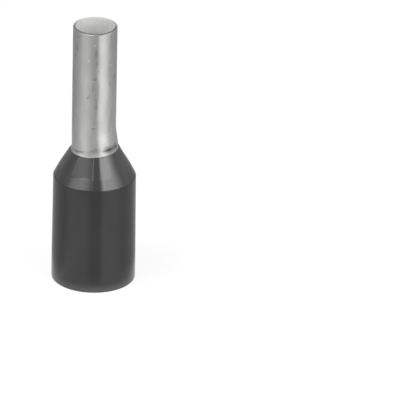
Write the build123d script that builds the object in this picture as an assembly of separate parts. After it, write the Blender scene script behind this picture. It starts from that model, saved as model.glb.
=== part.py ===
from build123d import *
import math
import os

# Insulated wire ferrule for 2.5 mm2 stranded wire, standing on the mouth of its collar.
# The axis is +Z with the bare metal barrel up, and the origin is the centre of the mouth.
# All sizes are in millimetres and all angles in degrees from the axis.

# Driving sizes of the metal sleeve, drawn from thin copper tube and tinned
conductor_bore = 2.2     # inside diameter of the barrel
sleeve_wall = 0.15
barrel_length = 7.55     # bare metal from the collar's top face to the tip
tip_rounding = 0.05      # both edges of the cut tip
flare_length = 1.3       # height over which the barrel widens above the collar
flare_angle = 3.8        # lean of the wall along that height
flare_bend = 4.0         # radius of the bend at the flare's upper end
funnel_angle = 24.0      # lean of the funnel that the collar is moulded over
throat_bend = 1.0        # radius of the bend from flare to funnel

# Driving sizes of the moulded plastic collar
collar_length = 8.0
insulation_bore = 4.2    # inside diameter of the collar's straight mouth
collar_wall = 0.3        # at the mouth
draft_angle = 0.45       # the outside narrows from the mouth to the shoulder
cone_angle = 29.5
shoulder_rounding = 0.4
top_land = 0.08          # plastic left around the sleeve's throat at the top of the cone
lip_rounding = 0.12      # outer edge of the mouth
mouth_lead_in = 0.08     # rounding of the mouth's inner edge
lead_in_angle = 29.5     # lean of the plastic funnel below the sleeve's funnel
lead_in_width = 0.32     # radial width of that plastic funnel
seat_clearance = 0.01    # between the sleeve and the plastic moulded over it

# Radii and heights that follow from them
bore_radius = conductor_bore / 2
barrel_radius = bore_radius + sleeve_wall
tip_height = collar_length + barrel_length
flare_height = collar_length + flare_length
throat_radius = barrel_radius + flare_length * math.tan(math.radians(flare_angle))
funnel_lean = math.radians(funnel_angle)
funnel_inner_radius = insulation_bore / 2 - lead_in_width
funnel_outer_radius = funnel_inner_radius + sleeve_wall * math.cos(funnel_lean)
funnel_height = collar_length - (funnel_outer_radius - throat_radius) / math.tan(funnel_lean)

mouth_radius = insulation_bore / 2 + collar_wall
cone_top_radius = throat_radius + top_land
cone_slope = math.tan(math.radians(cone_angle))
draft_slope = math.tan(math.radians(draft_angle))
shoulder_radius = (mouth_radius - draft_slope * (collar_length + cone_top_radius / cone_slope)) / (
    1 - draft_slope / cone_slope)
shoulder_height = collar_length - (shoulder_radius - cone_top_radius) / cone_slope


def wall_point(radius, height, depth, lean_above, lean_below):
    """Corner of the sleeve's wall, moved to a depth below the outer surface.

    The wall leans outward by lean_above before the corner and by lean_below after it.
    """
    mean = math.radians((lean_above + lean_below) / 2)
    reach = depth / math.cos(math.radians((lean_below - lean_above) / 2))
    return Vector(radius - reach * math.cos(mean), height - reach * math.sin(mean))


def wall_line(depth, end_gap=0):
    """Sleeve's wall in section from the tip down to the funnel's edge.

    depth is measured inward from the outer surface, and end_gap lengthens the funnel.
    """
    edge = wall_point(funnel_outer_radius, funnel_height, depth, funnel_angle, funnel_angle)
    edge += end_gap * Vector(math.sin(funnel_lean), -math.cos(funnel_lean))
    return FilletPolyline(
        Vector(barrel_radius - depth, tip_height),
        wall_point(barrel_radius, flare_height, depth, 0, flare_angle),
        wall_point(throat_radius, collar_length, depth, flare_angle, funnel_angle),
        edge,
        radius=[flare_bend + depth, throat_bend + depth],
    )


def turned(outline):
    """Solid of revolution about the axis from a closed outline in radius and height."""
    return revolve(Plane.XZ * make_face(outline), Axis.Z)


def sleeve():
    """Drawn tube with an even wall: barrel, gentle flare, and funnel at the wire's end."""
    outer = wall_line(0)
    inner = wall_line(sleeve_wall)
    tube = turned([outer, inner, Line(outer @ 0, inner @ 0), Line(outer @ 1, inner @ 1)])
    rounding = min(tip_rounding, 0.45 * sleeve_wall)
    return fillet(tube.edges().group_by(Axis.Z)[-1], rounding)


def collar_body():
    """Outside of the collar, filled: drafted wall, rounded shoulder and cone."""
    body = turned(Polyline(
        (0, 0),
        (mouth_radius, 0),
        (shoulder_radius, shoulder_height),
        (cone_top_radius, collar_length),
        (0, collar_length),
        close=True,
    ))
    rings = body.edges().filter_by(GeomType.CIRCLE).sort_by(Axis.Z)
    body = fillet(rings[1], shoulder_rounding)
    rings = body.edges().filter_by(GeomType.CIRCLE).sort_by(Axis.Z)
    return fillet(rings[0], min(lip_rounding, 0.5 * collar_wall))


def collar_hollow():
    """Space inside the collar: the wire's mouth, the plastic funnel and the sleeve's seat."""
    seat = wall_line(-seat_clearance, seat_clearance)
    step = wall_line(sleeve_wall, seat_clearance) @ 1
    mouth_side = insulation_bore / 2
    funnel_foot = step.Y - (mouth_side - step.X) / math.tan(math.radians(lead_in_angle))
    below = Polyline(
        seat @ 1,
        step,
        (mouth_side, funnel_foot),
        (mouth_side, 0),
        (0, 0),
        (0, tip_height),
        seat @ 0,
    )
    return turned([seat, below])


def collar():
    """Moulded insulating collar around the sleeve's funnel."""
    shell = collar_body() - collar_hollow()
    mouth_edges = shell.edges().filter_by(GeomType.CIRCLE).group_by(Axis.Z)[0]
    inner_edge = mouth_edges.sort_by(SortBy.RADIUS)[0]
    return fillet(inner_edge, min(mouth_lead_in, 0.4 * collar_wall))


os.makedirs("parts", exist_ok=True)
export_step(sleeve(), "parts/sleeve.step")
export_step(collar(), "parts/collar.step")
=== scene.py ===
import math

import bmesh
import bpy
from mathutils import Matrix, Quaternion, Vector, noise


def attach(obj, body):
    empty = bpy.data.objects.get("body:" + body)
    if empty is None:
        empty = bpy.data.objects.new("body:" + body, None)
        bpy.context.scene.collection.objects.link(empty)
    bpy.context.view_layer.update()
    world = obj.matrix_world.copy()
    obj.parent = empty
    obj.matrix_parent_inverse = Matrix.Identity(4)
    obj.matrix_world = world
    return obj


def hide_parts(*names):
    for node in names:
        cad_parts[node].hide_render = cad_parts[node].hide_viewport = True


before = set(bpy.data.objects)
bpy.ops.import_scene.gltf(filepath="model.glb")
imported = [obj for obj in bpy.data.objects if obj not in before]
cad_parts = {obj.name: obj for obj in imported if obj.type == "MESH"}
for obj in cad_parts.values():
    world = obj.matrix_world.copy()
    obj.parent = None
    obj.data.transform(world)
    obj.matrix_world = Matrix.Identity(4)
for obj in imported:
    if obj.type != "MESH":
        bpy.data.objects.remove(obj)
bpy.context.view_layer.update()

MM = 0.001

# The sleeve as the CAD has it, in millimetres, with leans in degrees from the axis
BARREL = 1.25            # outside radius of the straight barrel
WALL = 0.15              # thickness of the drawn tube
COLLAR_TOP = 8.0
FLARE_TOP = 9.3
TIP = 15.55
FLARE_LEAN = 3.8
THROAT = BARREL + (FLARE_TOP - COLLAR_TOP) * math.tan(math.radians(FLARE_LEAN))
FUNNEL_LEAN = 24.0
FUNNEL_BORE = 1.78       # inside radius at the funnel's open end
FLARE_BEND = 4.0
THROAT_BEND = 1.0
SEAT_GAP = 0.01          # between the sleeve and the plastic around it

# Its cut end, which the render shows closer than the CAD needs it
CUT_LENGTH = 0.1         # length of tube that the cut's own outline takes in
CUT_ZONE = 0.06          # length of tube that its slant and raggedness move
CUT_FACE = 0.05          # faces within this length that look up are sheared metal
SKIN = 0.01              # points within this depth belong to the tube's outside
CUT_ROUNDING = 0.02
CUT_DROP = 0.03          # from the inner to the outer edge
CUT_SLANT = 0.06         # from the back to the front
CUT_RAGGED = 0.012

# The collar as the CAD has it
MOUTH = 2.4              # outside radius at the mouth
MOUTH_BORE = 2.1
DRAFT = 0.45
CONE_LEAN = 29.5
TOP_LAND = 0.08          # plastic around the sleeve at the cone's top
LIP_ROUNDING = 0.12
MOUTH_ROUNDING = 0.08
LEAD_IN_LEAN = 29.5

# What moulding left on it
SHOULDER_ROUNDING = 0.15  # a crisper line than the solid's 0.4, on the same two surfaces
KNEE = (2.055, 6.928)    # the cone is a little fuller around this ring, where it shrank less
KNEE_BEND = 2.0
EDGE_ROUNDING = 0.02     # at the thin edge on top of the cone
EDGE_TILT = 0.07         # that edge is this much higher on the right, and lower on the left
EDGE_TILT_REACH = 0.3    # height of cone that follows it
EDGE_DRAW = 0.27         # how far it draws in for its lift, as the tube is narrower higher up

# How finely the outlines are divided
ROUND_STEPS = 256        # of a full turn
MARKED_STEP = 0.045      # up the sleeve's outside, fine enough for its marks
BORE_STEP = 0.15
COLLAR_STEP = 0.12
COLLAR_BORE_STEP = 0.4
CRISP_EDGE = 28          # degrees; an edge that turns more than this stays crisp


def rounded(corners, radii, step=5.0):
    """Straight runs between corners of radius and height, each inner corner on its own radius.

    step is the most degrees that one piece of a bend turns.
    """
    corners = [Vector(c) for c in corners]
    line = [corners[0]]
    for before, corner, after, radius in zip(corners, corners[1:], corners[2:], radii):
        inward = (corner - before).normalized()
        onward = (after - corner).normalized()
        turn = math.atan2(inward.x * onward.y - inward.y * onward.x, inward.dot(onward))
        if radius == 0:
            line.append(corner)
            continue
        start = corner - inward * radius * math.tan(abs(turn) / 2)
        side = Vector((-inward.y, inward.x)) * math.copysign(radius, turn)
        steps = max(4, math.ceil(abs(math.degrees(turn)) / step))
        for i in range(steps + 1):
            line.append(start + side - Matrix.Rotation(turn * i / steps, 2) @ side)
    line.append(corners[-1])
    return line


def divided(line, longest):
    """The same line with no run longer than the given length."""
    fine = [line[0]]
    for a, b in zip(line, line[1:]):
        parts = max(1, math.ceil((b - a).length / longest))
        fine += [a.lerp(b, i / parts) for i in range(1, parts + 1)]
    return fine


def wall_corner(radius, height, depth, lean_above, lean_below):
    """Corner of the tube's wall at a depth below its outside."""
    mean = math.radians((lean_above + lean_below) / 2)
    reach = depth / math.cos(math.radians((lean_below - lean_above) / 2))
    return Vector((radius - reach * math.cos(mean), height - reach * math.sin(mean)))


def wall_line(depth, end_gap=0.0):
    """The tube's wall from its tip to the funnel's open end, at a depth below its outside."""
    lean = math.radians(FUNNEL_LEAN)
    outer = FUNNEL_BORE + WALL * math.cos(lean)
    foot = COLLAR_TOP - (outer - THROAT) / math.tan(lean)
    end = wall_corner(outer, foot, depth, FUNNEL_LEAN, FUNNEL_LEAN)
    end += end_gap * Vector((math.sin(lean), -math.cos(lean)))
    corners = [
        Vector((BARREL - depth, TIP)),
        wall_corner(BARREL, FLARE_TOP, depth, 0, FLARE_LEAN),
        wall_corner(THROAT, COLLAR_TOP, depth, FLARE_LEAN, FUNNEL_LEAN),
        end,
    ]
    return rounded(corners, [FLARE_BEND + depth, THROAT_BEND + depth], step=1.5)


def sleeve_section():
    """Closed section of the drawn tube: outside from the funnel up, the cut end, and the bore."""
    straight_end = TIP - CUT_LENGTH
    bore = BARREL - WALL
    outside = divided(wall_line(0)[::-1], MARKED_STEP)
    inside = divided(wall_line(WALL), BORE_STEP)
    cut = rounded(
        [(BARREL, straight_end), (BARREL, TIP - CUT_DROP), (bore, TIP), (bore, straight_end)],
        [CUT_ROUNDING, CUT_ROUNDING], step=15,
    )
    return [p for p in outside if p.y < straight_end] + cut + [p for p in inside if p.y < straight_end]


def collar_section():
    """Closed section of the moulded collar: outside, thin edge, seat, lead-in, bore and lip."""
    slope, draft = (math.tan(math.radians(a)) for a in (CONE_LEAN, DRAFT))
    land = THROAT + TOP_LAND
    shoulder = (MOUTH - draft * (COLLAR_TOP + land / slope)) / (1 - draft / slope)
    shoulder_height = COLLAR_TOP - (shoulder - land) / slope
    around = wall_line(-SEAT_GAP, SEAT_GAP)
    edge = next(a.lerp(b, (a.y - COLLAR_TOP) / (a.y - b.y)) for a, b in zip(around, around[1:])
                if a.y >= COLLAR_TOP > b.y)
    seat = [p for p in around if p.y < COLLAR_TOP]
    step = wall_line(WALL, SEAT_GAP)[-1]
    lead_in_foot = step.y - (MOUTH_BORE - step.x) / math.tan(math.radians(LEAD_IN_LEAN))
    rim = ((MOUTH + MOUTH_BORE) / 2, 0)
    outside = rounded(
        [rim, (MOUTH, 0), (shoulder, shoulder_height), KNEE, (land, COLLAR_TOP), edge],
        [LIP_ROUNDING, SHOULDER_ROUNDING, KNEE_BEND, EDGE_ROUNDING],
    )
    bore = rounded([step, (MOUTH_BORE, lead_in_foot), (MOUTH_BORE, 0), rim], [0, MOUTH_ROUNDING])
    return divided(outside, COLLAR_STEP) + seat + divided(bore, COLLAR_BORE_STEP)[:-1]


def turned(name, section):
    """Mesh object of a closed section turned about the axis, with crisp corners kept sharp."""
    made = bmesh.new()
    rings = []
    for i in range(ROUND_STEPS):
        angle = 2 * math.pi * i / ROUND_STEPS
        c, s = math.cos(angle), math.sin(angle)
        rings.append([made.verts.new((p.x * c * MM, p.x * s * MM, p.y * MM)) for p in section])
    for i in range(ROUND_STEPS):
        near, far = rings[i], rings[(i + 1) % ROUND_STEPS]
        for j in range(len(section)):
            k = (j + 1) % len(section)
            made.faces.new((near[j], far[j], far[k], near[k]))
    bmesh.ops.recalc_face_normals(made, faces=made.faces)
    for face in made.faces:
        face.smooth = True
    for edge in made.edges:
        edge.smooth = edge.calc_face_angle() < math.radians(CRISP_EDGE)
    mesh = bpy.data.meshes.new(name)
    made.to_mesh(mesh)
    made.free()
    piece = bpy.data.objects.new(name, mesh)
    bpy.context.scene.collection.objects.link(piece)
    return piece


# Marks of handling in the soft tin: degrees round from the front, height, half width, half length,
# depth, and how bright (to 1) or dark (to -1) the tin is painted there: painted glints on the
# bright ones and painted shade in the dark ones. The last six are on the sides and round the back.
MARKS = [
    (0, 14.82, 0.06, 0.05, 0.006, 0.8),
    (-16, 13.88, 0.06, 0.05, 0.006, 0.9),
    (46, 13.48, 0.10, 0.05, 0.006, 0.6),
    (9, 13.23, 0.06, 0.06, 0.005, -0.35),
    (3, 14.3, 0.07, 0.3, 0.003, -0.3),
    (6, 13.7, 0.05, 0.16, 0.003, -0.4),
    (0, 12.76, 0.10, 0.07, 0.006, -0.4),
    (0, 12.62, 0.08, 0.03, 0.006, 0.3),
    (62, 12.69, 0.05, 0.16, 0.008, -0.6),
    (-4, 12.2, 0.04, 0.16, 0.005, -0.4),
    (5, 11.1, 0.05, 0.25, 0.004, -0.35),
    (-17, 11.60, 0.05, 0.05, 0.007, -0.6),
    (-13, 11.72, 0.05, 0.05, 0.007, -0.4),
    (0, 9.83, 0.10, 0.04, 0.007, 0.5),
    (-2, 9.74, 0.10, 0.04, 0.007, -0.6),
    (45, 9.3, 0.10, 0.07, -0.004, 0.4),
    (-51, 15.42, 0.08, 0.05, 0.008, -0.4),
    (-49, 15.18, 0.08, 0.04, 0.007, -0.5),
    (-54, 14.5, 0.07, 0.25, 0.003, -0.35),
    (-60, 14.0, 0.05, 0.16, 0.003, -0.4),
    (140, 13.1, 0.06, 0.06, 0.008, -0.5),
    (-118, 11.2, 0.05, 0.12, 0.007, -0.5),
    (170, 10.4, 0.07, 0.05, 0.006, 0.6),
    (-160, 14.2, 0.07, 0.05, 0.006, -0.5),
    (95, 11.9, 0.05, 0.16, 0.004, -0.4),
    (-88, 9.9, 0.08, 0.05, 0.007, 0.4),
]
# Painted shade, given in the same way: two faint dark streaks along the barrel, and dark spots along
# the crease
SHADE_STREAKS_AND_SPOTS = [
    (-66, 10.9, 0.24, 3.6, 0, -0.22),
    (3, 12.2, 0.14, 2.8, 0, -0.13),
    (14, 8.42, 0.08, 0.10, 0, -0.2),
    (28, 8.38, 0.14, 0.20, 0, -0.5),
    (37, 8.34, 0.15, 0.22, 0, -0.65),
    (47, 8.36, 0.16, 0.18, 0, -0.42),
    (60, 8.38, 0.15, 0.22, 0, -0.5),
    (69, 8.38, 0.12, 0.18, 0, -0.35),
    (2, 8.40, 0.15, 0.13, 0, -0.35),
    (-8, 8.36, 0.14, 0.08, 0, -0.25),
    (-27, 8.29, 0.2, 0.05, 0, -0.2),
    (-41, 8.2, 0.12, 0.05, 0, -0.3),
    (-51, 8.13, 0.14, 0.06, 0, -0.5),
    (128, 8.36, 0.30, 0.10, 0, -0.4),
    (-150, 8.22, 0.45, 0.10, 0, -0.45),
]
# The crease that the flaring tool left: it runs a little higher on the right
CREASE = 8.27
CREASE_TILT = 0.12
CREASE_DEPTH = 0.004
CREASE_WIDTH = 0.05
# The darkening of the tin in the crease is painted shade
CREASE_SHADE_PAINTED = 0.4        # how dark the tin is in it
CREASE_EVEN = 0.7        # share of it that is pressed evenly, the rest in patches
CREASE_FAINTEST = 0.2
MARK_REACH = 3           # a mark has faded out at this many times its half width or length
LEAN_ASIDE = 0.08        # how far the barrel sits to one side of the collar's axis
LEAN_RISE = 1.5          # height over which it moves aside


def patches(angle, spread, slice_at):
    """Smooth noise that closes on itself round the tube, with more patches for a larger spread."""
    return noise.noise(Vector((spread * math.cos(angle), spread * math.sin(angle), slice_at)))


def worn(azimuth, height):
    """How far the outside lies below the true tube here, in millimetres, and its painted glints and
    shade.
    """
    front = azimuth + 90 if azimuth < 90 else azimuth - 270
    depth = tone = 0.0
    for at, level, across, along, deep, bright in MARKS + SHADE_STREAKS_AND_SPOTS:
        sideways = math.radians((front - at + 180) % 360 - 180) * BARREL / across
        upward = (height - level) / along
        if max(abs(sideways), abs(upward)) < MARK_REACH:
            share = math.exp(-sideways ** 2 - upward ** 2)
            depth += deep * share
            tone += bright * share
    angle = math.radians(azimuth)
    crease = CREASE + CREASE_TILT * math.cos(angle)
    pressed = max(CREASE_FAINTEST, CREASE_EVEN + patches(angle, 2.2, 3.7))
    # The crease is a groove, and its tin is painted darker there as painted shade
    groove = pressed * math.exp(-((height - crease) / CREASE_WIDTH) ** 2)
    return depth + CREASE_DEPTH * groove, tone - CREASE_SHADE_PAINTED * groove


def wear(sleeve):
    """Moves the turned tube's points to its marks, crease, uneven cut and slight lean."""
    # Painted glints and painted shade of the marks, streaks and crease, kept on the points
    tones = sleeve.data.attributes.new("glints_and_shade_painted", "FLOAT", "POINT")
    for vertex, tone in zip(sleeve.data.vertices, tones.data):
        x, y, z = (v / MM for v in vertex.co)
        radius, azimuth = math.hypot(x, y), math.degrees(math.atan2(y, x)) % 360
        angle = math.radians(azimuth)
        if z > COLLAR_TOP and radius > BARREL - SKIN:
            depth, tone.value = worn(azimuth, z)
            radius -= depth
        if z > TIP - CUT_ZONE:
            ragged = CUT_RAGGED * abs(patches(angle, 4, 0.4))
            z -= ragged + CUT_SLANT * (0.5 - 0.5 * math.sin(angle))
        rise = min(1, max(0, (z - COLLAR_TOP) / LEAN_RISE))
        aside = LEAN_ASIDE * rise * rise * (3 - 2 * rise)
        vertex.co = (
            (radius * math.cos(angle) - aside) * MM, radius * math.sin(angle) * MM, z * MM)


def tilt_edge(collar):
    """Lets the thin edge at the cone's top run slightly off level, clear of the tube."""
    for vertex in collar.data.vertices:
        x, y, z = (v / MM for v in vertex.co)
        share = min(1, max(0, 1 + (z - COLLAR_TOP) / EDGE_TILT_REACH))
        lift = EDGE_TILT * share * share * x / (THROAT + TOP_LAND)
        outward = 1 - EDGE_DRAW * lift / math.hypot(x, y)
        vertex.co = (x * outward * MM, y * outward * MM, (z + lift) * MM)


def linear(hex_colour):
    """Linear colour of an sRGB hex value."""
    parts = [int(hex_colour[i:i + 2], 16) / 255 for i in (1, 3, 5)]
    return tuple(p / 12.92 if p <= 0.04045 else ((p + 0.055) / 1.055) ** 2.4 for p in parts) + (1,)


def grains(*size):
    """Texture scale at which grains have this size in millimetres along x, y and z."""
    return [1 / (s * MM) for s in size]


def new_material(name):
    """Material with an empty node tree."""
    material = bpy.data.materials.new(name)
    material.use_nodes = True
    material.node_tree.nodes.clear()
    return material, material.node_tree


def node(tree, kind, inputs=None, output=0, **settings):
    """Adds a node with its settings, sets or links its inputs, and gives back one of its outputs.

    Inputs and outputs go by name or number: a colour mix has its colours at 6 and 7 and gives 2.
    """
    made = tree.nodes.new(kind)
    for setting, value in settings.items():
        setattr(made, setting, value)
    for socket, value in (inputs or {}).items():
        if isinstance(value, bpy.types.NodeSocket):
            tree.links.new(value, made.inputs[socket])
        else:
            made.inputs[socket].default_value = linear(value) if isinstance(value, str) else value
    return made.outputs[output] if made.outputs else None


def drawn_tinned_copper():
    """Copper tube, drawn through a die and tinned, for the sleeve's outside.

    Tin gives a pale satin metal that shows lamps as soft upright bands. The bands waver where
    the coat is thick or thin, and faint die lines run along the tube. Painted glints brighten
    the tin at some dents, and painted shade darkens it at others, in two streaks and in the crease.
    """
    material, tree = new_material("tinned_copper_drawn")
    place = node(tree, "ShaderNodeTexCoord", output="Object")
    # Thick and thin places of the tin coat are about 0.4 mm across and 1.2 mm long
    coat_place = node(tree, "ShaderNodeMapping", {"Vector": place, "Scale": grains(0.4, 0.4, 1.2)})
    coat = node(tree, "ShaderNodeTexNoise", {"Vector": coat_place, "Scale": 1.0, "Detail": 0.0})
    # Die lines are 0.01 mm apart, too fine to show: drawn 0.06 mm apart
    line_place = node(tree, "ShaderNodeMapping", {"Vector": place, "Scale": grains(0.06, 0.06, 3.0)})
    lines = node(tree, "ShaderNodeTexNoise", {"Vector": line_place, "Scale": 1.0, "Detail": 2.0})
    # Pin-holes in the coat are under 0.05 mm: drawn 0.12 mm wide
    hole_place = node(tree, "ShaderNodeMapping", {"Vector": place, "Scale": grains(0.12, 0.12, 0.2)})
    holes = node(tree, "ShaderNodeTexNoise", {"Vector": hole_place, "Scale": 1.0, "Detail": 1.0})
    # The painted shade is broken into specks of about 0.16 mm
    speck_place = node(tree, "ShaderNodeMapping", {"Vector": place, "Scale": grains(0.16, 0.16, 0.12)})
    specks = node(tree, "ShaderNodeTexNoise", {"Vector": speck_place, "Scale": 1.0, "Detail": 3.0})

    thick = node(tree, "ShaderNodeMapRange", {"Value": coat, "From Min": 0.3, "From Max": 0.7})
    tin = node(tree, "ShaderNodeMix", {0: thick, 6: "#d0d0cf", 7: "#c7c7c6"}, 2, data_type="RGBA")
    open_hole = node(tree, "ShaderNodeMapRange", {
        "Value": holes, "From Min": 0.7, "From Max": 0.78, "To Max": 0.35})
    tin = node(tree, "ShaderNodeMix", {0: open_hole, 6: tin, 7: "#6c6c6b"}, 2, data_type="RGBA")

    # Painted glints make the tin paler, and painted shade makes it darker at dents, streaks and crease
    glints_and_shade_painted = node(tree, "ShaderNodeAttribute", output="Fac", attribute_name="glints_and_shade_painted")
    painted_glint = node(tree, "ShaderNodeMapRange", {"Value": glints_and_shade_painted})
    tin = node(tree, "ShaderNodeMix", {0: painted_glint, 6: tin, 7: "#f6f6f5"}, 2, data_type="RGBA")
    painted_dark = node(tree, "ShaderNodeMapRange", {"Value": glints_and_shade_painted, "From Max": -1.0})
    speckled = node(tree, "ShaderNodeMapRange", {
        "Value": specks, "From Min": 0.35, "From Max": 0.6, "To Min": 0.7, "To Max": 1.15})
    painted_dark = node(tree, "ShaderNodeMath", {0: painted_dark, 1: speckled}, operation="MULTIPLY")
    tin = node(tree, "ShaderNodeMix", {0: painted_dark, 6: tin, 7: "#3f3f3e"}, 2, data_type="RGBA")

    relief = node(tree, "ShaderNodeBump", {"Height": lines, "Distance": 0.0005 * MM})
    relief = node(tree, "ShaderNodeBump", {"Height": coat, "Distance": 0.014 * MM, "Normal": relief})
    metal = node(tree, "ShaderNodeBsdfPrincipled", {
        "Base Color": tin, "Metallic": 1.0, "Roughness": 0.3, "Normal": relief})
    node(tree, "ShaderNodeOutputMaterial", {"Surface": metal})
    return material


def dull_tinned_bore():
    """The same tube inside, where the tin was dipped and never rubbed.

    A pale oxide film makes it matt and nearly white, even all round, with faint long lines.
    """
    material, tree = new_material("tinned_copper_bore")
    place = node(tree, "ShaderNodeTexCoord", output="Object")
    # Runs of the dipped tin are about 0.3 mm wide and 2 mm long
    run_place = node(tree, "ShaderNodeMapping", {"Vector": place, "Scale": grains(0.3, 0.3, 2.0)})
    runs = node(tree, "ShaderNodeTexNoise", {"Vector": run_place, "Scale": 1.0, "Detail": 2.0})
    film = node(tree, "ShaderNodeMapRange", {"Value": runs, "From Min": 0.3, "From Max": 0.7})
    tin = node(tree, "ShaderNodeMix", {0: film, 6: "#cacac9", 7: "#c4c4c3"}, 2, data_type="RGBA")
    # From half a millimetre below the tip the bore is painted whiter, painted light where its depth
    # lies in shade
    height = node(tree, "ShaderNodeSeparateXYZ", {0: place}, "Z")
    deep = node(tree, "ShaderNodeMapRange", {
        "Value": height, "From Min": (TIP - 0.5) * MM, "From Max": (TIP - 0.95) * MM})
    tin = node(tree, "ShaderNodeMix", {0: deep, 6: tin, 7: "#d2d2d1"}, 2, data_type="RGBA")
    relief = node(tree, "ShaderNodeBump", {"Height": runs, "Distance": 0.006 * MM})
    metal = node(tree, "ShaderNodeBsdfPrincipled", {
        "Base Color": tin, "Metallic": 0.15, "Roughness": 0.6, "Normal": relief})
    node(tree, "ShaderNodeOutputMaterial", {"Surface": metal})
    return material


def sheared_copper_edge():
    """The tube's cut end: a thin ring of torn metal, with painted shade at the front and a painted
    highlight at the back.
    """
    material, tree = new_material("tinned_copper_sheared")
    place = node(tree, "ShaderNodeTexCoord", output="Object")
    front_to_back = node(tree, "ShaderNodeSeparateXYZ", {0: place}, "Y")
    # The ring is painted bright on the far side as a painted highlight, and dark on the near side as
    # painted shade
    back_highlight_painted = node(tree, "ShaderNodeMapRange", {
        "Value": front_to_back, "From Min": -0.3 * MM, "From Max": 1.3 * MM})
    # Torn grains are about 0.09 mm
    grain_place = node(tree, "ShaderNodeMapping", {"Vector": place, "Scale": grains(0.09, 0.09, 0.09)})
    grain = node(tree, "ShaderNodeTexNoise", {"Vector": grain_place, "Scale": 1.0, "Detail": 2.0})
    grain_shade_painted = node(tree, "ShaderNodeMix", {0: grain, 6: "#8e8e8d", 7: "#6c6c6b"}, 2, data_type="RGBA")
    cut_end_light_painted = node(tree, "ShaderNodeMix", {0: back_highlight_painted, 6: grain_shade_painted, 7: "#e0e0df"}, 2, data_type="RGBA")
    relief = node(tree, "ShaderNodeBump", {"Height": grain, "Distance": 0.004 * MM})
    metal = node(tree, "ShaderNodeBsdfPrincipled", {
        "Base Color": cut_end_light_painted, "Metallic": 1.0, "Roughness": 0.38, "Normal": relief})
    node(tree, "ShaderNodeOutputMaterial", {"Surface": metal})
    return material


def moulded_black_polypropylene():
    """Polypropylene moulded in a polished tool, for the collar.

    It is a deep grey-black with a clear gloss: lamps show on the cone with nearly sharp edges,
    bent a little where the plastic shrank unevenly.
    """
    material, tree = new_material("black_polypropylene_moulded")
    place = node(tree, "ShaderNodeTexCoord", output="Object")
    # Shrinkage is uneven over 1.4 to 2.2 mm, and more faintly over half that
    flow_place = node(tree, "ShaderNodeMapping", {"Vector": place, "Scale": grains(1.4, 1.4, 2.2)})
    flow = node(tree, "ShaderNodeTexNoise", {"Vector": flow_place, "Scale": 1.0, "Detail": 1.0})
    # Polishing marks in the tool are 0.005 mm apart, too fine to show: drawn 0.09 mm apart
    polish_place = node(tree, "ShaderNodeMapping", {"Vector": place, "Scale": grains(0.09, 0.09, 0.09)})
    polish = node(tree, "ShaderNodeTexNoise", {"Vector": polish_place, "Scale": 1.0, "Detail": 3.0})
    shade = node(tree, "ShaderNodeMapRange", {"Value": flow, "From Min": 0.3, "From Max": 0.7})
    black = node(tree, "ShaderNodeMix", {0: shade, 6: "#272727", 7: "#2b2b2b"}, 2, data_type="RGBA")
    # The lip is painted paler over its last 0.7 mm, painted light where the white ground lights it
    height = node(tree, "ShaderNodeSeparateXYZ", {0: place}, "Z")
    lip_light_painted = node(tree, "ShaderNodeMapRange", {
        "Value": height, "From Min": 0.7 * MM, "From Max": 0.0}, interpolation_type="SMOOTHERSTEP")
    black = node(tree, "ShaderNodeMix", {0: lip_light_painted, 6: black, 7: "#4c4c4c"}, 2, data_type="RGBA")
    relief = node(tree, "ShaderNodeBump", {"Height": flow, "Distance": 0.02 * MM})
    relief = node(tree, "ShaderNodeBump", {"Height": polish, "Distance": 0.0006 * MM, "Normal": relief})
    gloss = node(tree, "ShaderNodeMapRange", {
        "Value": polish, "From Min": 0.3, "From Max": 0.7, "To Min": 0.08, "To Max": 0.12})
    plastic = node(tree, "ShaderNodeBsdfPrincipled", {
        "Base Color": black, "Roughness": gloss, "IOR": 1.49, "Normal": relief})
    node(tree, "ShaderNodeOutputMaterial", {"Surface": plastic})
    return material


def build_sleeve():
    """The drawn tube, with its own finish outside, inside and on the cut end."""
    sleeve = turned("sleeve_drawn", sleeve_section())
    for metal in (drawn_tinned_copper(), dull_tinned_bore(), sheared_copper_edge()):
        sleeve.data.materials.append(metal)
    cut_height = (TIP - CUT_FACE) * MM
    for face in sleeve.data.polygons:
        middle = face.center
        upward = face.normal.z > 0.8
        inward = face.normal.x * middle.x + face.normal.y * middle.y < 0
        if middle.z > cut_height and upward:
            face.material_index = 2
        elif inward:
            face.material_index = 1
    wear(sleeve)
    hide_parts("sleeve")
    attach(sleeve, "root")


def build_collar():
    """The collar moulded around the sleeve's funnel."""
    collar = turned("collar_moulded", collar_section())
    collar.data.materials.append(moulded_black_polypropylene())
    tilt_edge(collar)
    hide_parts("collar")
    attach(collar, "root")


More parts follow.
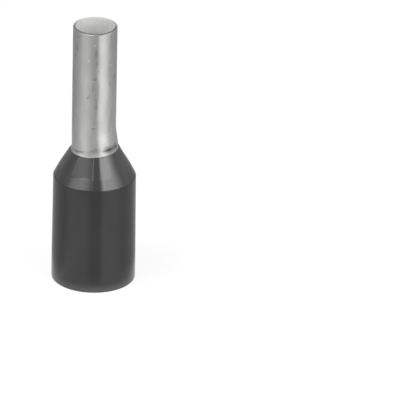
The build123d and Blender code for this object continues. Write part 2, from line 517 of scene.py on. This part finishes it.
def studio_ground():
    """Sheet of pale satin acrylic: the camera sees it as white, with the ferrule's shadow kept.

    The ferrule's gloss sees it glowing white close around the collar, a painted reflection, and
    grey further off, where it mirrors the lamps. A wedge of it left of the front glows for the
    gloss alone, a painted reflection that gives the collar a soft band.
    """
    mesh = bpy.data.meshes.new("ground")
    half = 1.5
    mesh.from_pydata([(-half, -half, 0), (half, -half, 0), (half, half, 0), (-half, half, 0)],
                     [], [(0, 1, 2, 3)])
    ground = bpy.data.objects.new("ground", mesh)
    bpy.context.scene.collection.objects.link(ground)
    material, tree = new_material("pale_acrylic_sheet")
    camera = node(tree, "ShaderNodeLightPath", output="Is Camera Ray")
    through = node(tree, "ShaderNodeLightPath", output="Is Transmission Ray")
    glossed = node(tree, "ShaderNodeLightPath", output="Is Glossy Ray")
    sheet = node(tree, "ShaderNodeBsdfPrincipled", {
        "Base Color": "#808080", "Roughness": 0.2, "IOR": 1.65})
    paper = node(tree, "ShaderNodeBsdfDiffuse", {"Color": "#fbfbfb"})
    white = node(tree, "ShaderNodeEmission", {"Color": "#ffffff", "Strength": 1.0})
    backdrop = node(tree, "ShaderNodeMixShader", {0: 0.87, 1: paper, 2: white})
    # For gloss the sheet glows paler within 16 mm and whitest at the collar's foot, painted reflections
    place = node(tree, "ShaderNodeTexCoord", output="Object")
    away = node(tree, "ShaderNodeVectorMath", {0: place}, "Value", operation="LENGTH")
    near = node(tree, "ShaderNodeMapRange", {
        "Value": away, "From Min": 16 * MM, "From Max": 30 * MM, "To Min": 0.35, "To Max": 0.06},
        interpolation_type="SMOOTHSTEP")
    foot = node(tree, "ShaderNodeMapRange", {
        "Value": away, "From Min": 2.6 * MM, "From Max": 5 * MM, "To Min": 0.6, "To Max": 0.0},
        interpolation_type="SMOOTHSTEP")
    pale = node(tree, "ShaderNodeMath", {0: near, 1: foot}, operation="ADD")
    # The glowing band's middle lies 42 degrees left of the front, and it fades from 14 to 42 degrees
    # off that.
    # The gradient runs from 0 to 1 in a full turn, and passes the front at a quarter of it.
    front, full_turn = 90, 360
    around = node(tree, "ShaderNodeTexGradient", {0: place}, "Fac", gradient_type="RADIAL")
    off_band_glow = node(tree, "ShaderNodeMath", {
        0: around, 1: (front - 42) / full_turn}, operation="SUBTRACT")
    off_band_glow = node(tree, "ShaderNodeMath", {0: off_band_glow}, operation="ABSOLUTE")
    band_glow_painted = node(tree, "ShaderNodeMapRange", {
        "Value": off_band_glow, "From Min": 14 / full_turn, "From Max": 42 / full_turn,
        "To Min": 0.62, "To Max": 0.0}, interpolation_type="SMOOTHSTEP")
    band_glow_painted = node(tree, "ShaderNodeMapRange", {
        "Value": away, "From Min": 15 * MM, "From Max": 17.5 * MM, "To Min": band_glow_painted, "To Max": 0.0},
        interpolation_type="SMOOTHSTEP")
    pale = node(tree, "ShaderNodeMath", {0: pale, 1: band_glow_painted}, operation="ADD")
    pale = node(tree, "ShaderNodeMath", {0: pale, 1: glossed}, operation="MULTIPLY")
    under = node(tree, "ShaderNodeMixShader", {0: pale, 1: sheet, 2: white})
    seen = node(tree, "ShaderNodeMath", {0: camera, 1: through}, operation="MAXIMUM")
    surface = node(tree, "ShaderNodeMixShader", {0: seen, 1: under, 2: backdrop})
    node(tree, "ShaderNodeOutputMaterial", {"Surface": surface})
    mesh.materials.append(material)


def studio_air():
    """World light of one level all round; gloss sees a paler backdrop and the camera a white one."""
    level, sheen = 0.35, 0.77
    world = bpy.data.worlds.new("studio_air")
    bpy.context.scene.world = world
    world.use_nodes = True
    tree = world.node_tree
    tree.nodes.clear()
    camera = node(tree, "ShaderNodeLightPath", output="Is Camera Ray")
    through = node(tree, "ShaderNodeLightPath", output="Is Transmission Ray")
    glossed = node(tree, "ShaderNodeLightPath", output="Is Glossy Ray")
    air = node(tree, "ShaderNodeBackground", {"Color": "#ffffff", "Strength": level})
    pale = node(tree, "ShaderNodeBackground", {"Color": "#ffffff", "Strength": sheen})
    white = node(tree, "ShaderNodeBackground", {"Color": "#ffffff", "Strength": 1.0})
    unseen = node(tree, "ShaderNodeMixShader", {0: glossed, 1: air, 2: pale})
    seen = node(tree, "ShaderNodeMath", {0: camera, 1: through}, operation="MAXIMUM")
    backdrop = node(tree, "ShaderNodeMixShader", {0: seen, 1: unseen, 2: white})
    node(tree, "ShaderNodeOutputWorld", {"Surface": backdrop})


def softbox(name, left, right, low, high, radiance, fades=(1, 1), leaning=0):
    """Soft lamp facing the ferrule that fills these angles: round from the camera, and above level.

    Its cloth is even in the middle and darkens over so many degrees at its left and right side.
    leaning turns the lamp in its own plane.
    """
    distance = 0.3
    azimuth, elevation = math.radians((left + right) / 2), math.radians((low + high) / 2)
    towards = Vector((
        math.sin(azimuth) * math.cos(elevation),
        -math.cos(azimuth) * math.cos(elevation),
        math.sin(elevation),
    ))
    half = math.radians((right - left) / 2)
    width = 2 * distance * math.tan(half) * math.cos(elevation)
    height = 2 * distance * math.tan(math.radians((high - low) / 2))
    data = bpy.data.lights.new(name, "AREA")
    data.shape = "RECTANGLE"
    data.size, data.size_y = width, height
    data.energy = math.pi * radiance * width * height
    data.use_nodes = True
    tree = data.node_tree
    tree.nodes.clear()
    across = node(tree, "ShaderNodeNewGeometry", output="Parametric")
    across = node(tree, "ShaderNodeSeparateXYZ", {0: across}, "X")
    cloth = 1.0
    for side, fade in enumerate(fades):
        even = 0.5 - 0.5 * math.tan(half - math.radians(fade)) / math.tan(half)
        cloth = node(tree, "ShaderNodeMapRange", {
            "Value": across, "From Min": side, "From Max": abs(side - even), "To Max": cloth},
            interpolation_type="SMOOTHSTEP")
    glow = node(tree, "ShaderNodeEmission", {"Color": "#ffffff", "Strength": cloth})
    node(tree, "ShaderNodeOutputLight", {"Surface": glow})
    lamp = bpy.data.objects.new(name, data)
    lamp.location = towards * distance + Vector((0, 0, 0.5 * TIP * MM))
    lamp.rotation_mode = "QUATERNION"
    leaned = Quaternion((0, 0, 1), math.radians(leaning))
    lamp.rotation_quaternion = towards.to_track_quat("Z", "Y") @ leaned
    lamp.visible_camera = False
    bpy.context.scene.collection.objects.link(lamp)


def photo_camera():
    """Long lens, 24.5 degrees above level, tipped a little to the side.

    The ferrule stands left of the middle and above it, so the lens aims right of it and below.
    """
    elevation, roll = math.radians(24.52), math.radians(0.849)
    distance, middle = 362.7 * MM, Vector((0, 0, 7.771 * MM))
    aside, below = 5.944, 2.751
    back = Vector((0, -math.cos(elevation), math.sin(elevation)))
    level_right, level_up = Vector((1, 0, 0)), Vector((0, math.sin(elevation), math.cos(elevation)))
    right = level_right * math.cos(roll) + level_up * math.sin(roll)
    up = level_up * math.cos(roll) - level_right * math.sin(roll)
    aim = middle + (aside * right - below * up) * MM
    place = middle + distance * back
    data = bpy.data.cameras.new("camera")
    data.sensor_width = 36
    data.lens = 577
    camera = bpy.data.objects.new("camera", data)
    bpy.context.scene.collection.objects.link(camera)
    look = (aim - place).normalized()
    side = look.cross(up).normalized()
    turn = Matrix((side, side.cross(look), -look)).transposed()
    camera.rotation_mode = "QUATERNION"
    camera.rotation_quaternion = turn.to_quaternion()
    camera.location = place
    bpy.context.scene.camera = camera


build_sleeve()
build_collar()
studio_ground()
studio_air()
# Left, right, low and high edge in degrees, radiance, and how far each side fades.
# The key gives the barrel its bright band and the cone its broad patch.
softbox("key_upper", 16, 93, 29, 42, 6.3, (14, 46))
softbox("key_lower", 16, 91, 8, 29, 4.9, (14, 42))
softbox("right_far", 74, 132, 6, 24, 0.4, (12, 30))
# These three give the left side its paler band and patch
softbox("left_upper", -86, 4, 29, 42, 1.75, (12, 60))
softbox("left_lower", -91, -8, 12, 29, 3.0, (50, 29), 18)
softbox("left_far", -100, -62, 10, 26, 0.35, (18, 10))
# A narrow slit at the front shows as a thin bright line
softbox("left_seam", -7.6, -6.0, 29, 44, 6.5, (0.2, 0.2))
# This one lights the bore and the cut end from above
softbox("top_left", -90, -20, 50, 75, 7.0)
photo_camera()
bpy.context.scene.view_settings.view_transform = "Standard"
